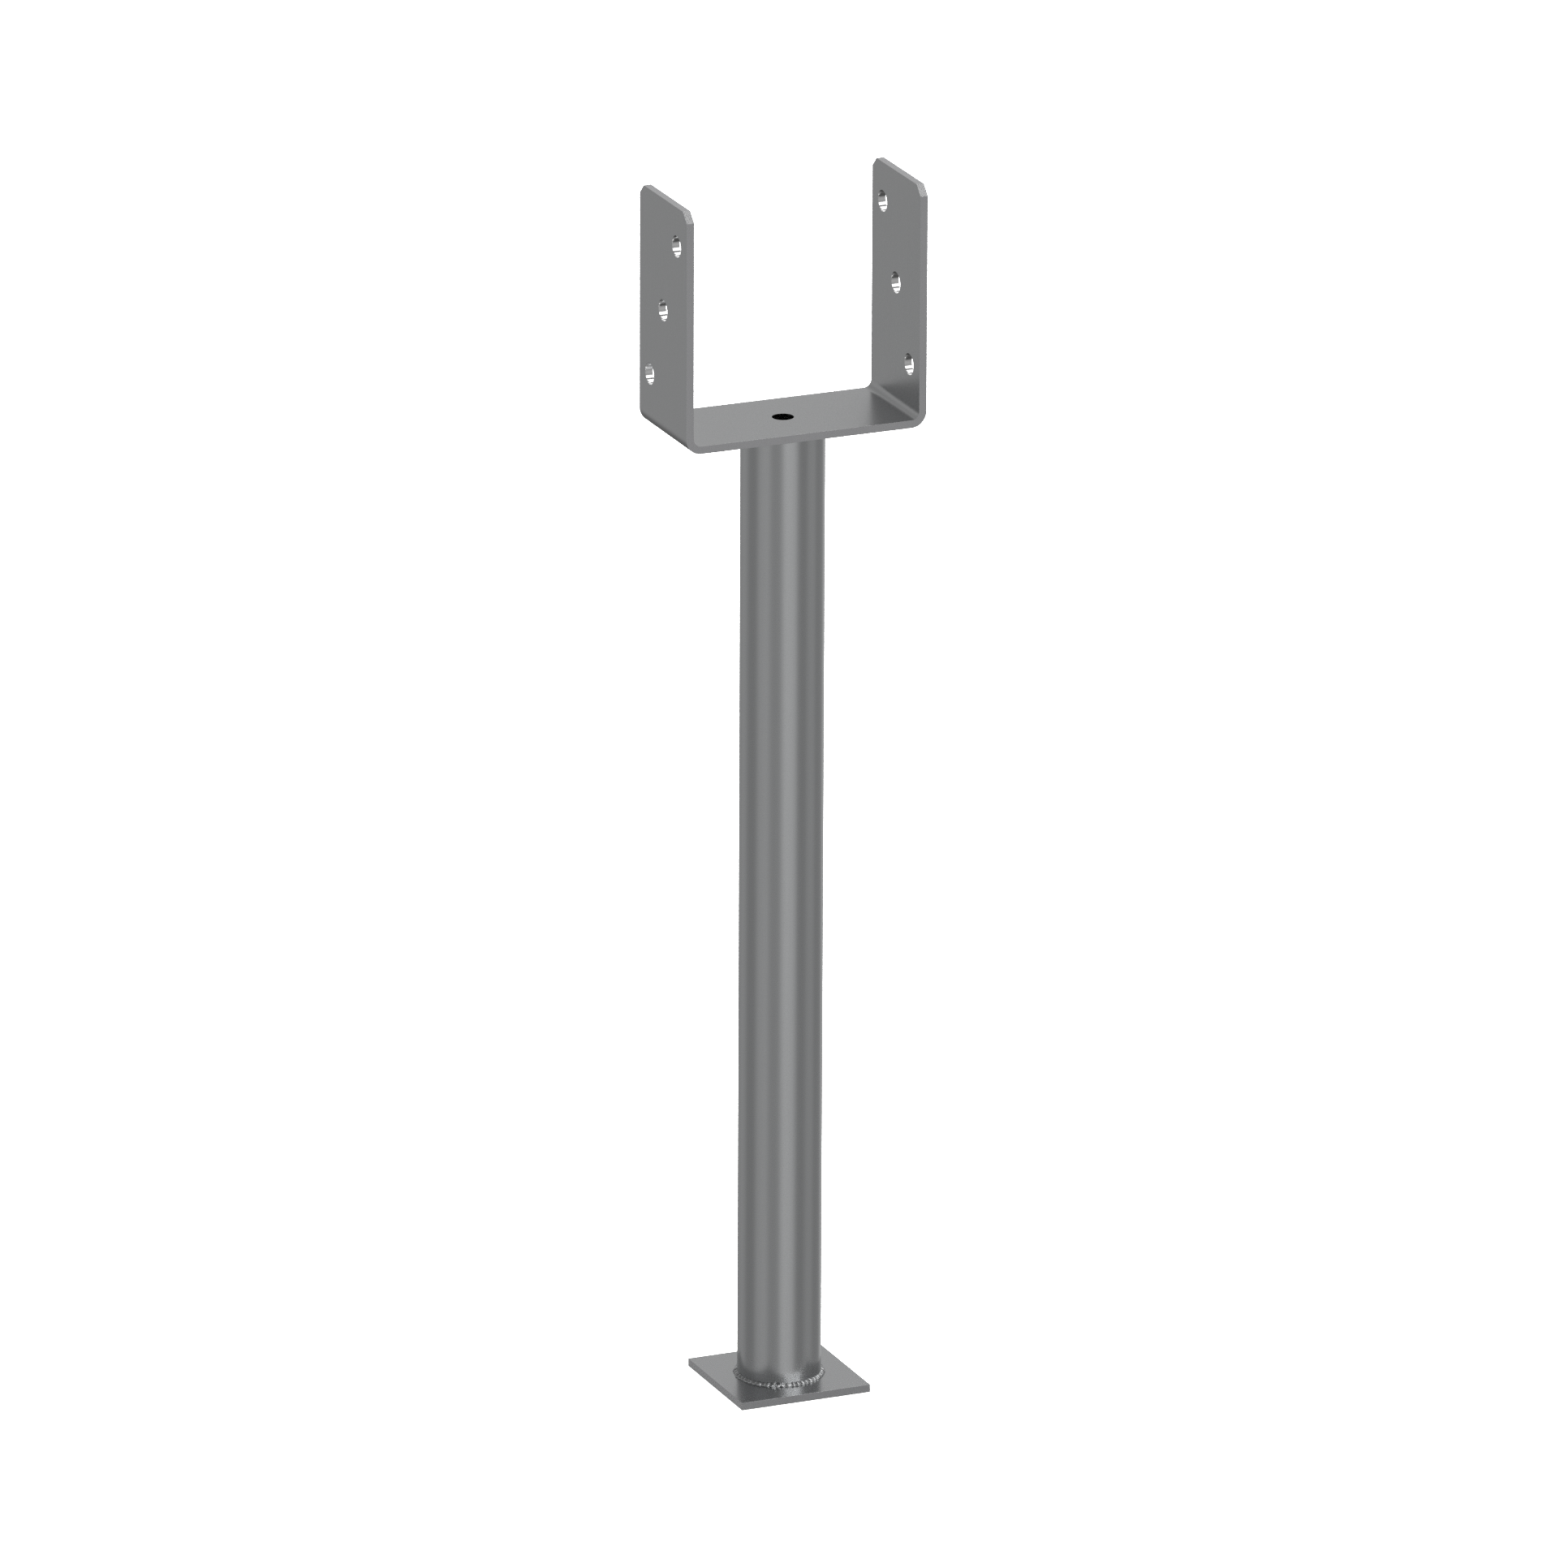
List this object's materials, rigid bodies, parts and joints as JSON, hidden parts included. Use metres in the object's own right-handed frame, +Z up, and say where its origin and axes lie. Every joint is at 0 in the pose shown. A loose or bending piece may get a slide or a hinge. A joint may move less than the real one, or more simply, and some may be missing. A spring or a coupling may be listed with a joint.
{
  "type": "galvanised post base",
  "caption": "Welded steel post base: a U-shaped fork for a square timber post on a round tube with a square foot plate, for setting in concrete.",
  "frame": {"origin": "centre of the foot plate's underside, on the ground", "axes": "+Z up along the tube; +X along the fork's web towards the right leg; +Y across the strap, away from the viewer"},
  "size_m": [0.129, 0.07, 0.628],
  "materials": {
    "galvanised_plate": "hot-dip galvanised, dull even grey",
    "galvanised_tube": "hot-dip galvanised, smooth satin grey",
    "galvanised_strap": "hot-dip galvanised, fine matt grain with sheared edges",
    "galvanised_weld": "hot-dip galvanised, rippled weld bead"
  },
  "bodies": {
    "root": {"base_plate": "galvanised_plate", "stem_tube": "galvanised_tube", "u_bracket": "galvanised_strap", "base_weld": "galvanised_weld", "top_weld": "galvanised_weld"}
  },
  "joints": []
}
